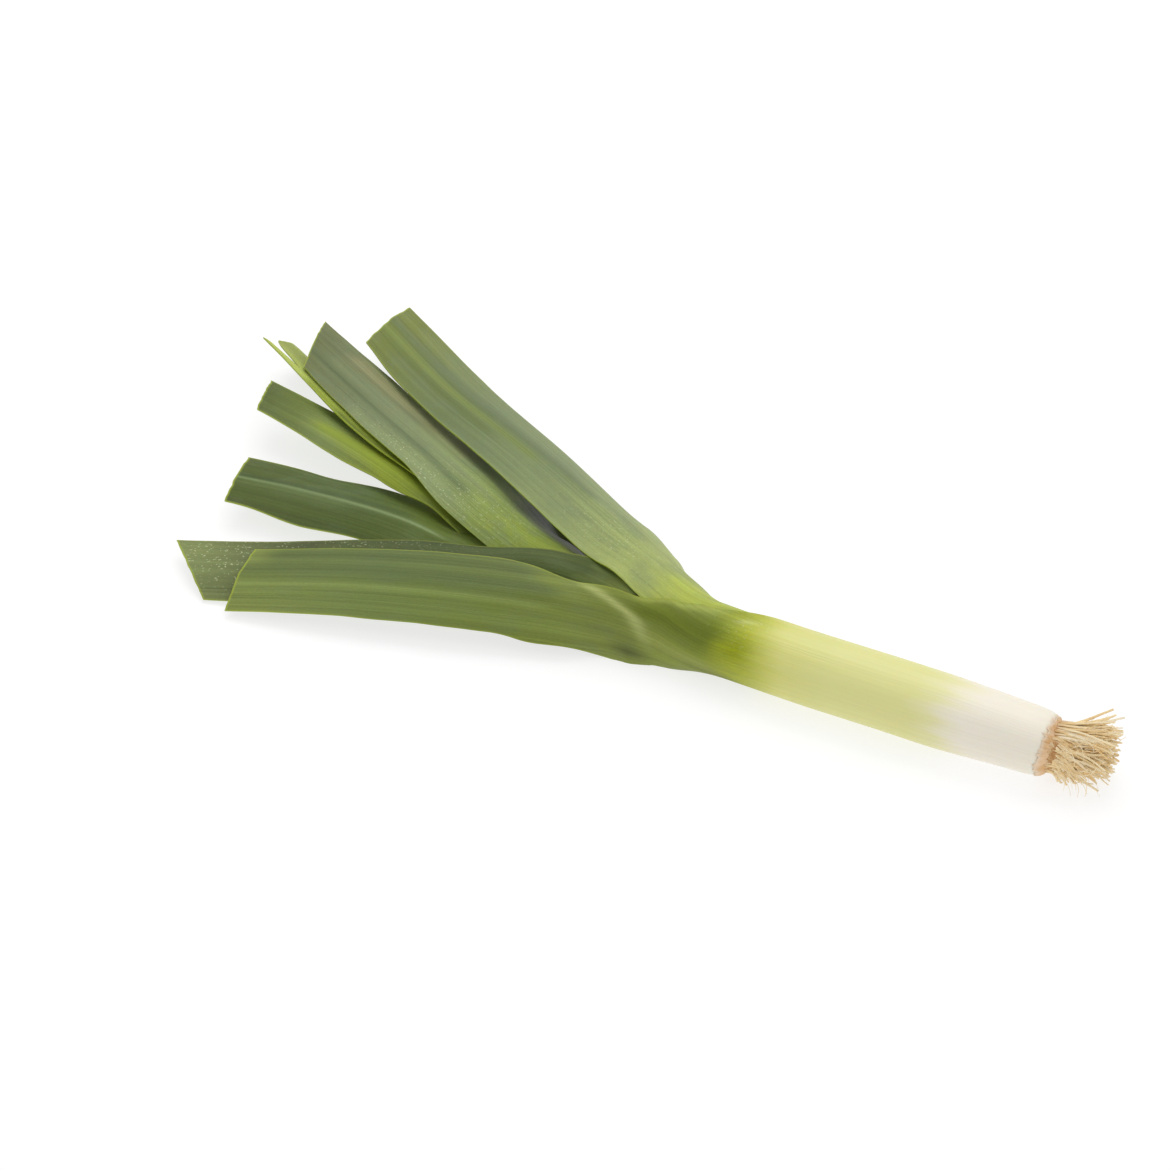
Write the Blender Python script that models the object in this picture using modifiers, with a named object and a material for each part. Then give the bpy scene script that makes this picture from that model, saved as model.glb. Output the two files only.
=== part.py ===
# A leek lying on its side: a blanched shank on its root plate, a tuft of trimmed roots and seven cut leaves.
# The shank lies along X with the roots at +X and the leaves at -X. Metres, +Z up, resting on z = 0.
import math
import random

import bmesh
import bpy
from mathutils import Vector

# Driving dimensions. "Along" runs from the root plate towards the leaf tips, "side" from the axis to +Y.
# The shank: its radius where it leaves the root plate, past the rounded rim, and along most of its length.
ROOT_X = 0.2172
AXIS_Y = -0.0528
PLATE_RADIUS = 0.0122
NECK_RADIUS = 0.0152
SHANK_RADIUS = 0.0170
RIM_LENGTH = 0.010
NECK_LENGTH = 0.056
SHANK_STATIONS = (0, 0.002, 0.005, 0.010, 0.022, 0.036, 0.052, 0.075)
BEND_START = 0.110
BEND = 0.586
SETTLE = 0.0042
SETTLE_START = 0.178
SETTLE_LENGTH = 0.105
# The sheaths: the step in radius from one leaf to the next inside it, and the clearance between pieces.
LAYER = 0.0019
SKIN_GAP = 0.0004
STEP_LENGTH = 0.00005
LEAF_REST = 0.0002
SHEATH_THICKNESS = 0.0012
CORE_SIDES = 28
CORE_END = 0.311
CORE_TAPER = 0.009
SHANK_SHARP = 40
REST_DEPTH = 0.0006

# The blades' thickness, and the grid of each: cells across and along, closer together near the notch.
BLADE_THICKNESS = 0.0010
MIDRIB_THICKNESS = 0.0022
MIDRIB_WIDTH = 0.0035
MARGIN_THICKNESS = 0.0008
ACROSS = 14
ALONG = 22
CROWDING = 1.4
FULL_WRAP = math.radians(166)
EVEN = ((0, 0),)

# The root plate's depths and radii, and its strands.
PLATE_PROFILE = ((0, 0.0108), (0.0015, 0.0112), (0.0035, 0.0100), (0.0050, 0.0060))
PLATE_SIDES = 20
ROOT_COUNT = 74
ROOT_LENGTH = 0.028
ROOT_RADIUS = 0.00085
ROOT_TAPER = 0.12
ROOT_SEGMENTS = 3
ROOT_SPREAD = math.radians(27)
ROOT_START = 0.0010
ROOT_REACH = 0.0098
GOLDEN_TURN = 137.5
SEED = 7

# Each leaf, from the outermost in. notch: where its sheath opens; lift: where its keel leaves the core.
# route: along, side and height of the keel from there to the cut end; slant: how far the cut runs off square.
# Each list after that gives values at places along the leek: the clock angle that the outer face looks to
# (0 is -Y, 90 is up, 180 is +Y), the half width, how tightly it is rolled in (1 hugs the core), the fold
# of its keel in degrees, how much more of the width lies on the side of rising clock angle (lean), and where
# the two halves differ in roll, how much more of it that side has (curl).
LEAVES = (
    dict(
        name="leaf_1_near", layer=0, notch=0.105, lift=0.184, slant=-0.002,
        route=((0.216, -0.013, 0.0255), (0.270, -0.026, 0.0265), (0.330, -0.040, 0.0215), (0.386, -0.054, 0.0125)),
        clock=((0.105, 5), (0.160, 6), (0.200, 30), (0.236, 57), (0.386, 74)),
        half=(
            (0.127, 0.036), (0.175, 0.0225), (0.203, 0.0196), (0.226, 0.0174), (0.252, 0.0200),
            (0.300, 0.0190), (0.386, 0.0180),
        ),
        roll=((0.150, 1), (0.205, 0.45), (0.230, 0.34), (0.300, 0.16), (0.386, 0.10)),
        fold=((0.180, 0), (0.240, 10), (0.386, 8)),
        lean=((0.127, 0.04), (0.170, 0.01), (0.182, -0.14), (0.200, -0.50), (0.224, -0.40), (0.265, -0.04)),
        curl=((0.150, 0), (0.200, 0.10), (0.240, 0)),
    ),
    dict(
        name="leaf_2_far", layer=1, notch=0.150, lift=0.167, slant=0.019,
        route=(
            (0.208, 0.0295, 0.0300), (0.245, 0.048, 0.0315), (0.292, 0.074, 0.0305),
            (0.354, 0.107, 0.0265), (0.416, 0.150, 0.0205),
        ),
        clock=((0.150, 150), (0.185, 124), (0.235, 109), (0.412, 106)),
        half=((0.165, 0.034), (0.200, 0.0278), (0.260, 0.0258), (0.350, 0.0240), (0.412, 0.0215)),
        roll=((0.155, 1), (0.192, 0.50), (0.212, 0.26), (0.235, 0.19), (0.320, 0.12), (0.412, 0.08)),
        fold=((0.180, 0), (0.250, 12), (0.412, 9)),
        lean=((0.150, 0), (0.170, 0.10), (0.220, 0)),
        curl=((0.155, 0), (0.172, -0.16), (0.190, -0.16), (0.205, 0)),
    ),
    dict(
        name="leaf_3_near", layer=2, notch=0.178, lift=0.200, slant=0.0100,
        route=(
            (0.244, -0.007, 0.0250), (0.282, -0.016, 0.0225), (0.327, -0.028, 0.0175),
            (0.374, -0.042, 0.0120), (0.412, -0.054, 0.0085),
        ),
        clock=((0.178, 10), (0.200, 15), (0.244, 52), (0.290, 64), (0.412, 76)),
        half=((0.190, 0.030), (0.220, 0.0215), (0.300, 0.0200), (0.412, 0.0175)),
        roll=((0.190, 1), (0.250, 0.36), (0.320, 0.16), (0.412, 0.08)),
        fold=((0.215, 0), (0.270, 8), (0.412, 8)),
        lean=((0.220, 0), (0.245, -0.15), (0.320, 0)),
    ),
    dict(
        name="leaf_4_far", layer=3, notch=0.208, lift=0.228, slant=0.0180,
        route=((0.267, 0.025, 0.0256), (0.306, 0.0415, 0.0280), (0.367, 0.072, 0.0283), (0.4375, 0.1118, 0.0253)),
        clock=((0.208, 165), (0.230, 135), (0.265, 114), (0.320, 104), (0.432, 99)),
        half=((0.218, 0.026), (0.250, 0.0190), (0.300, 0.0200), (0.380, 0.0195), (0.432, 0.0170)),
        roll=((0.218, 1), (0.285, 0.30), (0.340, 0.10), (0.432, 0.06)),
        fold=((0.235, 0), (0.275, 16), (0.330, 9), (0.432, 7)),
        lean=((0.230, 0), (0.255, -0.20), (0.295, -0.15), (0.340, 0)),
    ),
    dict(
        name="leaf_5_near", layer=4, notch=0.234, lift=0.250, slant=0.001,
        route=((0.295, 0.0068, 0.0160), (0.333, 0.0120, 0.0178), (0.386, 0.009, 0.0185), (0.421, 0.0057, 0.0173)),
        clock=((0.234, 0), (0.262, 15), (0.320, 84), (0.417, 84)),
        half=((0.244, 0.021), (0.270, 0.0108), (0.310, 0.0092), (0.345, 0.0165), (0.372, 0.0185), (0.417, 0.016)),
        roll=((0.244, 1), (0.320, 0.25), (0.418, 0.12)),
        fold=((0.250, 0), (0.320, 14), (0.418, 18)),
        lean=((0.245, 0), (0.275, -0.25), (0.310, -0.30), (0.345, 0)),
    ),
    dict(
        name="leaf_6_far", layer=5, notch=0.258, lift=0.274, slant=0.004,
        route=((0.330, 0.0475, 0.0204), (0.380, 0.070, 0.0215), (0.460, 0.119, 0.0150)),
        clock=((0.258, 180), (0.290, 150), (0.330, 130), (0.455, 132)),
        half=((0.268, 0.017), (0.300, 0.012), (0.380, 0.017), (0.455, 0.016)),
        roll=((0.268, 1), (0.330, 0.24), (0.455, 0.12)),
        fold=((0.270, 0), (0.340, 10), (0.455, 8)),
        lean=((0.258, 0),),
    ),
    dict(
        name="leaf_7_middle", layer=6, notch=0.282, lift=0.294, slant=0.003,
        route=(
            (0.312, 0.0245, 0.0205), (0.333, 0.0325, 0.0222), (0.361, 0.043, 0.0228),
            (0.394, 0.0535, 0.0225), (0.437, 0.0632, 0.0225),
        ),
        clock=((0.282, 90), (0.434, 90)),
        half=((0.288, 0.014), (0.304, 0.0078), (0.340, 0.0118), (0.380, 0.0128), (0.434, 0.0110)),
        roll=((0.288, 1), (0.312, 0.20), (0.434, 0.10)),
        fold=((0.290, 0), (0.340, 7), (0.434, 16)),
        lean=((0.300, 0.10), (0.322, 0.45), (0.350, 0.15), (0.380, 0)),
    ),
)


def smooth(x):
    x = min(max(x, 0.0), 1.0)
    return x * x * (3 - 2 * x)


def read(knots, x):
    """A value that eases from one knot to the next."""
    if x <= knots[0][0]:
        return knots[0][1]
    for (x0, y0), (x1, y1) in zip(knots, knots[1:]):
        if x <= x1:
            return y0 + (y1 - y0) * smooth((x - x0) / (x1 - x0))
    return knots[-1][1]


def place(along, side, height):
    return Vector((ROOT_X - along, AXIS_Y + side, height))


def axis(along):
    """The shank's axis: straight from the roots, then bending slowly to the far side and settling a little."""
    settled = SETTLE * smooth((along - SETTLE_START) / SETTLE_LENGTH)
    return place(along, BEND * max(along - BEND_START, 0) ** 2, SHANK_RADIUS - settled)


def axis_direction(along):
    return (axis(along + 0.001) - axis(along - 0.001)).normalized()


def frame_at(direction, clock):
    """The outward and crosswise directions of a leaf that runs this way and faces this clock angle."""
    near = Vector((0, 0, 1)).cross(direction).normalized()
    up = direction.cross(near)
    angle = math.radians(clock)
    outward = near * math.cos(angle) + up * math.sin(angle)
    return outward, direction.cross(outward)


def material(name, colour, roughness):
    made = bpy.data.materials.new(name)
    made.use_nodes = True
    shader = made.node_tree.nodes["Principled BSDF"]
    shader.inputs["Base Color"].default_value = (*colour, 1)
    shader.inputs["Roughness"].default_value = roughness
    shader.inputs["Metallic"].default_value = 0
    return made


def finish(mesh_builder, name, collection, surface, smooth_angle=60):
    mesh = bpy.data.meshes.new(name)
    mesh_builder.to_mesh(mesh)
    mesh_builder.free()
    mesh.materials.append(surface)
    mesh.shade_smooth()
    mesh.set_sharp_from_angle(angle=math.radians(smooth_angle))
    made = bpy.data.objects.new(name, mesh)
    collection.objects.link(made)
    return made


# Shank: the pale sheaths grown round one another from the root plate, stepped down where each leaf opens.
def shank_radius(along):
    """The outer radius, rounded in at the root plate and slowly growing to its full size."""
    rounded = math.sqrt(1 - (1 - min(along / RIM_LENGTH, 1)) ** 2)
    rim = PLATE_RADIUS + (NECK_RADIUS - PLATE_RADIUS) * rounded
    return rim + (SHANK_RADIUS - NECK_RADIUS) * smooth(along / NECK_LENGTH)


def shank_stations():
    """(along, radius) pairs from the root plate to the innermost leaf, with a step at each notch."""
    stations = [(along, shank_radius(along)) for along in SHANK_STATIONS]
    for leaf in LEAVES:
        outer = SHANK_RADIUS - LAYER * leaf["layer"]
        inner = outer - LAYER - SKIN_GAP
        stations.append((leaf["notch"] - SKIN_GAP, outer))
        stations.append((leaf["notch"] - SKIN_GAP + STEP_LENGTH, inner))
    stations.append((CORE_END - CORE_TAPER, inner))
    stations.append((CORE_END, inner * 0.7))
    return stations


def tube(rings, sides):
    """A closed tube through rings of (centre, direction, radius)."""
    made = bmesh.new()
    bmesh.ops.create_circle(made, cap_ends=False, segments=sides, radius=1)
    turns = [math.degrees(math.atan2(vert.co.y, vert.co.x)) for vert in made.verts]
    verts, edges = list(made.verts), list(made.edges)
    first = list(edges)
    for index, (centre, direction, radius) in enumerate(rings):
        if index:
            grown = bmesh.ops.extrude_edge_only(made, edges=edges)["geom"]
            verts = [item for item in grown if isinstance(item, bmesh.types.BMVert)]
            edges = [item for item in grown if isinstance(item, bmesh.types.BMEdge)]
        for vert, turn in zip(verts, turns):
            outward, _ = frame_at(direction, turn)
            vert.co = centre + outward * radius
    bmesh.ops.contextual_create(made, geom=first)
    bmesh.ops.contextual_create(made, geom=edges)
    bmesh.ops.recalc_face_normals(made, faces=made.faces)
    return made


def make_shank(collection, surface):
    rings = [(axis(along), axis_direction(along), radius) for along, radius in shank_stations()]
    shank = tube(rings, CORE_SIDES)
    for vert in shank.verts:
        if vert.co.z < REST_DEPTH:
            vert.co.z = 0
    finish(shank, "shank", collection, surface, SHANK_SHARP)


# Roots: a tuft of trimmed strands on the brown root plate, one body.
def make_roots(collection, surface):
    draw = random.Random(SEED)
    back = Vector((1, 0, 0))
    plate = tube(
        [(place(-SKIN_GAP - depth, 0, SHANK_RADIUS), back, radius) for depth, radius in PLATE_PROFILE], PLATE_SIDES
    )
    roots = finish(plate, "roots", collection, surface)
    strands = bpy.data.collections.new("root_strands")
    bpy.context.scene.collection.children.link(strands)
    for number in range(ROOT_COUNT):
        share = math.sqrt((number + 0.5) / ROOT_COUNT)
        outward, _ = frame_at(-back, number * GOLDEN_TURN)
        spread = ROOT_SPREAD * share * draw.uniform(0.65, 1.1)
        swing = Vector((0, draw.uniform(-0.18, 0.18), draw.uniform(-0.18, 0.18)))
        direction = (back * math.cos(spread) + outward * math.sin(spread) + swing).normalized()
        centre = place(-SKIN_GAP - ROOT_START, 0, SHANK_RADIUS) + outward * share * ROOT_REACH
        step = ROOT_LENGTH * draw.uniform(0.70, 1.04) / ROOT_SEGMENTS
        curl = Vector((0, draw.uniform(-0.14, 0.14), draw.uniform(-0.20, 0.08)))
        rings = []
        for ring in range(ROOT_SEGMENTS + 1):
            radius = ROOT_RADIUS * (1 - ROOT_TAPER * ring)
            centre.z = max(centre.z, radius + SKIN_GAP)
            rings.append((centre.copy(), direction, radius))
            centre += direction * step
            direction = (direction + curl).normalized()
        finish(tube(rings, 3), f"root_strand_{number}", strands, surface)
    join = roots.modifiers.new("strands", "BOOLEAN")
    join.operation = "UNION"
    join.operand_type = "COLLECTION"
    join.collection = strands
    join.solver = "MANIFOLD"
    graph = bpy.context.evaluated_depsgraph_get()
    joined = bpy.data.meshes.new_from_object(roots.evaluated_get(graph))
    roots.modifiers.clear()
    roots.data = joined
    for strand in list(strands.objects):
        bpy.data.objects.remove(strand, do_unlink=True)
    bpy.data.collections.remove(strands)


# Leaves: each is a sheath that closes round the core at its notch, and a keeled blade cut across at its end.
def keel_path(leaf):
    """The keel's points and their lengths from the notch: along the core, then in one smooth free curve."""
    radius = SHANK_RADIUS - LAYER * leaf["layer"]

    def on_core(along):
        outward, _ = frame_at(axis_direction(along), read(leaf["clock"], along))
        return axis(along) + outward * radius

    steps = 10
    stretch = leaf["lift"] - leaf["notch"]
    points = [on_core(leaf["notch"] + stretch * step / steps) for step in range(steps + 1)]
    free = [points[-2], points[-1], *(place(*stop) for stop in leaf["route"])]
    free.append(free[-1] * 2 - free[-2])
    for before, start, stop, after in zip(free, free[1:], free[2:], free[3:]):
        span = (stop - start).length
        leave = (start - before) / (start - before).length + (stop - start) / span
        arrive = (stop - start) / span + (after - stop) / (after - stop).length
        for step in range(1, 17):
            t = step / 16
            points.append(
                start * (2 * t**3 - 3 * t**2 + 1)
                + leave * (span / 2) * (t**3 - 2 * t**2 + t)
                + stop * (3 * t**2 - 2 * t**3)
                + arrive * (span / 2) * (t**3 - t**2)
            )
    lengths = [0.0]
    for before, after in zip(points, points[1:]):
        lengths.append(lengths[-1] + (after - before).length)
    return points, lengths


def on_path(points, lengths, wanted):
    """The point and direction at a length from the notch, carried on straight past the end."""
    last = len(points) - 1
    index = next((i for i in range(1, last + 1) if lengths[i] >= wanted), last)
    before, after = points[index - 1], points[index]
    share = (wanted - lengths[index - 1]) / (lengths[index] - lengths[index - 1])
    ahead = points[min(index + 1, last)] - points[max(index - 2, 0)]
    return before + (after - before) * share, ahead.normalized()


def half_width(leaf, along):
    closed = SHANK_RADIUS - LAYER * leaf["layer"]
    return read(((leaf["notch"], closed * FULL_WRAP), *leaf["half"]), along)


def leaf_point(leaf, path, length, across):
    """A point of the leaf's outer face, across running from -1 at one margin to 1 at the other."""
    keel, direction = on_path(*path, length)
    along = ROOT_X - keel.x
    radius = SHANK_RADIUS - LAYER * leaf["layer"]
    if along < leaf["lift"]:
        direction = axis_direction(along)
    outward, crosswise = frame_at(direction, read(leaf["clock"], along))
    side = math.copysign(1, across)
    half = half_width(leaf, along) * (1 + read(leaf["lean"], along) * side)
    theta = half / radius * read(leaf["roll"], along) * (1 + read(leaf.get("curl", EVEN), along) * side)
    fold = math.radians(read(leaf["fold"], along))
    turn = fold + theta * abs(across)
    reach = half / theta * (math.sin(turn) - math.sin(fold))
    drop = half / theta * (math.cos(turn) - math.cos(fold))
    return keel + crosswise * side * reach + outward * drop


def make_leaf(leaf, collection, surface):
    path = keel_path(leaf)
    total = path[1][-1]
    blade = bmesh.new()
    bmesh.ops.create_grid(blade, x_segments=ACROSS, y_segments=ALONG, size=1)
    weights = blade.verts.layers.deform.verify()
    for vert in blade.verts:
        across, share = vert.co.x, ((vert.co.y + 1) / 2) ** CROWDING
        length = share * (total + leaf["slant"] * across)
        half = half_width(leaf, ROOT_X - on_path(*path, length)[0].x)
        middle = math.exp(-((across * half / MIDRIB_WIDTH) ** 2))
        sheath = 1 - smooth(length / total / 0.25)
        thick = MARGIN_THICKNESS + (BLADE_THICKNESS - MARGIN_THICKNESS) * (1 - abs(across))
        thick += (MIDRIB_THICKNESS - thick) * middle * (1 - sheath)
        thick += (SHEATH_THICKNESS - thick) * sheath
        vert[weights][0] = thick / MIDRIB_THICKNESS
        vert.co = leaf_point(leaf, path, length, across)
        vert.co.z = max(vert.co.z, LEAF_REST)
    bmesh.ops.triangulate(blade, faces=blade.faces, quad_method="FIXED")
    made = finish(blade, leaf["name"], collection, surface)
    made.vertex_groups.new(name="thickness")
    thicken = made.modifiers.new("thickness", "SOLIDIFY")
    thicken.thickness = MIDRIB_THICKNESS
    thicken.offset = -1
    thicken.vertex_group = "thickness"
    thicken.use_even_offset = False


def main():
    for old in list(bpy.data.objects):
        bpy.data.objects.remove(old, do_unlink=True)
    leek = bpy.data.collections.new("leek")
    bpy.context.scene.collection.children.link(leek)
    make_roots(leek, material("root_straw", (0.60, 0.42, 0.22), 0.8))
    make_shank(leek, material("shank_skin", (0.78, 0.74, 0.58), 0.45))
    green = material("leaf_green", (0.19, 0.25, 0.09), 0.5)
    for leaf in LEAVES:
        make_leaf(leaf, leek, green)


main()
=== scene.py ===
import bisect
import math
import random

import bmesh
import bpy
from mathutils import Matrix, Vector, noise


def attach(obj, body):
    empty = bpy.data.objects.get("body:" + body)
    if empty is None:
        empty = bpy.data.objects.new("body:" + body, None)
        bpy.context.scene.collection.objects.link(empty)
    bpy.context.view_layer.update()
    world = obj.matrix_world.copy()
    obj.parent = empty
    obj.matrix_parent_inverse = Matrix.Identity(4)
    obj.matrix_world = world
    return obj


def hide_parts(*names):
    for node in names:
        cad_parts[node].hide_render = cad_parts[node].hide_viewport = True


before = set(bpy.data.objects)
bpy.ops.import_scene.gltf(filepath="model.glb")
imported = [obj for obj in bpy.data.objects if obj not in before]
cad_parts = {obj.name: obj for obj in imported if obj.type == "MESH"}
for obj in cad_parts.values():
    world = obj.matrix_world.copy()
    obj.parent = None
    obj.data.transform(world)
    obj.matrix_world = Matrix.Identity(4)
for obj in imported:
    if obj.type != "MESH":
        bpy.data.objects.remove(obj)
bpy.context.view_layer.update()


# Root plate: the short hard stem at the foot of the leek, a brown corky dome about as wide as a coin.
# Every sheath grows from its one side and every root from the other, so nothing is fastened to it.
# In metres, "along" runs from this plate towards the leaf tips, and "side" from the shank's axis to +Y.
ROOT_X = 0.2172
AXIS_Y = -0.0528
SHANK_RADIUS = 0.0170
BEND_START = 0.110
BEND = 0.586
SETTLE = 0.0042
SETTLE_START = 0.178
SETTLE_LENGTH = 0.105
SKIN_GAP = 0.0004
PLATE_PROFILE = (  # depth from the sheaths, radius
    (0, 0.0108), (0.0008, 0.0112), (0.0018, 0.0110), (0.0032, 0.0102), (0.0043, 0.0082), (0.0050, 0.0052),
)
PLATE_SIDES = 48
PLATE_LUMPS = 0.0005
LUMPS_A_METRE = 600
PLATE_CRUMBS = (700, 700, 700)


def smooth(x):
    x = min(max(x, 0.0), 1.0)
    return x * x * (3 - 2 * x)


def place(along, side, height):
    return Vector((ROOT_X - along, AXIS_Y + side, height))


def axis(along):
    """The leek's axis: straight from the roots, then bending to the far side and settling a little."""
    settled = SETTLE * smooth((along - SETTLE_START) / SETTLE_LENGTH)
    return place(along, BEND * max(along - BEND_START, 0) ** 2, SHANK_RADIUS - settled)


def axis_direction(along):
    return (axis(along + 0.001) - axis(along - 0.001)).normalized()


def frame_at(direction, clock):
    """The outward and crosswise directions at a clock angle: 0 is the near side, 90 up, 180 the far side."""
    near = Vector((0, 0, 1)).cross(direction).normalized()
    up = direction.cross(near)
    angle = math.radians(clock)
    outward = near * math.cos(angle) + up * math.sin(angle)
    return outward, direction.cross(outward)


def tube(rings, sides, start=0):
    """A closed tube through rings of (centre, direction, radius). Layers keep each point's turn and ring."""
    made = bmesh.new()
    turn = made.verts.layers.float.new("turn")
    ring = made.verts.layers.float.new("ring")
    bmesh.ops.create_circle(made, cap_ends=False, segments=sides, radius=1)
    for vert in made.verts:
        vert[turn] = math.degrees(math.atan2(vert.co.y, vert.co.x)) + start
    verts, edges = list(made.verts), list(made.edges)
    first = list(edges)
    turns = [vert[turn] for vert in verts]
    for number, (centre, direction, radius) in enumerate(rings):
        if number:
            grown = bmesh.ops.extrude_edge_only(made, edges=edges)["geom"]
            verts = [item for item in grown if isinstance(item, bmesh.types.BMVert)]
            edges = [item for item in grown if isinstance(item, bmesh.types.BMEdge)]
        for vert, angle in zip(verts, turns):
            vert.co = centre + frame_at(direction, angle)[0] * radius
            vert[turn], vert[ring] = angle, number
    bmesh.ops.contextual_create(made, geom=first)
    bmesh.ops.contextual_create(made, geom=edges)
    bmesh.ops.recalc_face_normals(made, faces=made.faces)
    return made


def add_piece(builder, name, finishes, node=None, sharp=60):
    """Turns a bmesh into a piece of the leek, with its finishes, fastened to the root, which may replace a
    node.
    """
    mesh = bpy.data.meshes.new(name)
    builder.to_mesh(mesh)
    builder.free()
    for finish in finishes:
        mesh.materials.append(finish.material)
    mesh.shade_smooth()
    mesh.set_sharp_from_angle(angle=math.radians(sharp))
    piece = bpy.data.objects.new(name, mesh)
    bpy.context.scene.collection.objects.link(piece)
    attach(piece, "root")
    if node:
        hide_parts(node)
    return piece


def shade(red, green, blue):
    """A colour in display values from 0 to 255, as the linear colour that a node takes."""
    return *(((level / 255 + 0.055) / 1.055) ** 2.4 for level in (red, green, blue)), 1


class Wire:
    """A shader node's output. Sums written with it become Math nodes of the same finish."""

    def __init__(self, finish, socket):
        self.finish, self.socket = finish, socket

    def math(self, operation, *values):
        return self.finish.node("Math", dict(enumerate(values)), operation=operation)

    def __add__(self, other):
        return self.math("ADD", self, other)

    def __sub__(self, other):
        return self.math("SUBTRACT", self, other)

    def __rsub__(self, other):
        return self.math("SUBTRACT", other, self)

    def __mul__(self, other):
        return self.math("MULTIPLY", self, other)

    def __truediv__(self, other):
        return self.math("DIVIDE", self, other)

    __radd__, __rmul__ = __add__, __mul__

    def rise(self, low, high):
        """0 below low, 1 above high, and a smooth step between."""
        inputs = {"Value": self, "From Min": low, "From Max": high}
        return self.finish.node("MapRange", inputs, interpolation_type="SMOOTHSTEP")

    def near(self, centre, width):
        """1 at the centre, falling smoothly to about a third at one width from it."""
        off = (self - centre) / width
        return self.math("EXPONENT", off * off * -1)


class Finish:
    """A procedural material. Its one way to add a node takes the type, the sockets' values and settings."""

    def __init__(self, name, **constants):
        self.material = bpy.data.materials.new(name)
        self.material.use_nodes = True
        self.tree = self.material.node_tree
        self.shader = self.tree.nodes["Principled BSDF"]
        for socket, value in constants.items():
            self.shader.inputs[socket.replace("_", " ")].default_value = value

    def feed(self, socket, value):
        if isinstance(value, Wire):
            self.tree.links.new(value.socket, socket)
        else:
            socket.default_value = value

    def node(self, kind, sockets, out=0, stops=(), **settings):
        made = self.tree.nodes.new("ShaderNode" + kind)
        for name, value in settings.items():
            setattr(made, name, value)
        for number, (position, colour) in enumerate(stops):
            elements = made.color_ramp.elements
            stop = elements[number] if number < 2 else elements.new(position)
            stop.position, stop.color = position, colour
        for name, value in sockets.items():
            self.feed(made.inputs[name], value)
        return Wire(self, made.outputs[out])

    def value(self, attribute):
        return self.node("Attribute", {}, out="Fac", attribute_name=attribute)

    def vector(self, attribute):
        return self.node("Attribute", {}, out="Vector", attribute_name=attribute)

    def grain(self, vector, stretch, detail=2, rough=0.5, shift=0.0):
        """Noise stretched to so many patches a metre each way."""
        moved = self.node("VectorMath", {0: vector, 1: (shift, shift, shift)}, operation="ADD")
        spread = self.node("VectorMath", {0: moved, 1: stretch}, operation="MULTIPLY")
        return self.node("TexNoise", {"Vector": spread, "Scale": 1, "Detail": detail, "Roughness": rough})

    def mix(self, factor, under, over):
        sockets = {0: factor, 6: under, 7: over}
        return self.node("Mix", sockets, out=2, data_type="RGBA", blend_type="MIX", clamp_factor=True)

    def lighten(self, colour, amount):
        return self.node("VectorMath", {0: colour, "Scale": amount}, operation="SCALE")

    def ramp(self, value, stops):
        return self.node("ValToRGB", {0: value}, stops=stops)

    def finished(self, colour, roughness, height, distance):
        self.feed(self.shader.inputs["Base Color"], colour)
        self.feed(self.shader.inputs["Roughness"], roughness)
        bump = self.node("Bump", {"Height": height, "Distance": distance, "Strength": 1})
        self.feed(self.shader.inputs["Normal"], bump)
        return self


PLATE_TAN = shade(222, 178, 126)
PLATE_BROWN = shade(176, 128, 80)
root_axis = Vector((1, 0, 0))
plate_rings = [
    (place(-SKIN_GAP - depth, 0, SHANK_RADIUS), root_axis, radius) for depth, radius in PLATE_PROFILE
]
plate = tube(plate_rings, PLATE_SIDES)
for vert in plate.verts:
    outward = (vert.co - place(0, 0, SHANK_RADIUS)).normalized()
    vert.co += outward * PLATE_LUMPS * noise.noise(vert.co * LUMPS_A_METRE)
cork = Finish("corky_root_plate", Specular_IOR_Level=0.2)
spot = cork.node("TexCoord", {}, out="Object")
crumb = cork.grain(spot, PLATE_CRUMBS, detail=5, rough=0.65)
cork.finished(cork.mix(crumb.rise(0.35, 0.65), PLATE_BROWN, PLATE_TAN), 0.85, crumb, 0.0006)
add_piece(plate, "root_plate", [cork])


# Root tuft: several hundred straw-coloured roots, each a dry strand about a millimetre thick.
# They leave the plate all over its face, run back as a brush that opens a little, and were trimmed level.
# Between the thick ones lie finer side roots, curled, with a few stray ends that stand clear of the brush.
STRANDS = 330
STRAND_SIDES = 5
STRAND_RINGS = 9
STRAND_RADIUS = (0.00040, 0.00082)
STRAND_TAPER = 0.35
STRAND_LENGTH = (0.0225, 0.0292)
STRAND_SPREAD = math.radians(17)
STRAND_FANNING = (0.35, 1.25)
STRAND_REACH = 0.0116
STRAND_SEAT = 0.0004
STRAND_WANDER = 0.085
SWING_ASIDE = (-0.13, 0.13)
SWING_UP = (-0.14, 0.14)
CURL_ASIDE = (-0.50, 0.50)
CURL_UP = (-0.60, 0.20)
PLATE_DOME = 0.0038
FAR_SPREAD = 0.60
FAR_LEAN = 0.28
NEAR_SPREAD = -0.9
RIM_START, RIM_RANGE = 0.45, 0.35
NEAR_START, NEAR_RANGE = 0.42, 0.25
NEAR_TURN = Vector((0, 0.06, -0.34))
NEAR_CURL = 0.45
NEAR_DROOP = 1.5
DROOP_VARIETY = (0.4, 1.2)
NEAR_SHORTENING = 0.50
TUFT_TOP = 0.0362
WISPS = 150
WISP_SIDES = 3
WISP_RINGS = 12
WISP_RADIUS = (0.00012, 0.00022)
WISP_LENGTH = (0.006, 0.016)
WISP_DEPTH = (0.001, 0.018)
WISP_SHARE = (0.5, 1.0)
WISP_REACH = 1.1
WISP_FANNING = (-0.2, 0.5)
WISP_CURL = ((-1.0, 0.3), (-1.4, 1.4), (-1.2, 1.2))
WISP_WANDER = 0.22
TRIM = 0.0272
GOLDEN_TURN = 137.5
ROOT_SEED = 7

draw = random.Random(ROOT_SEED)


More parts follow.
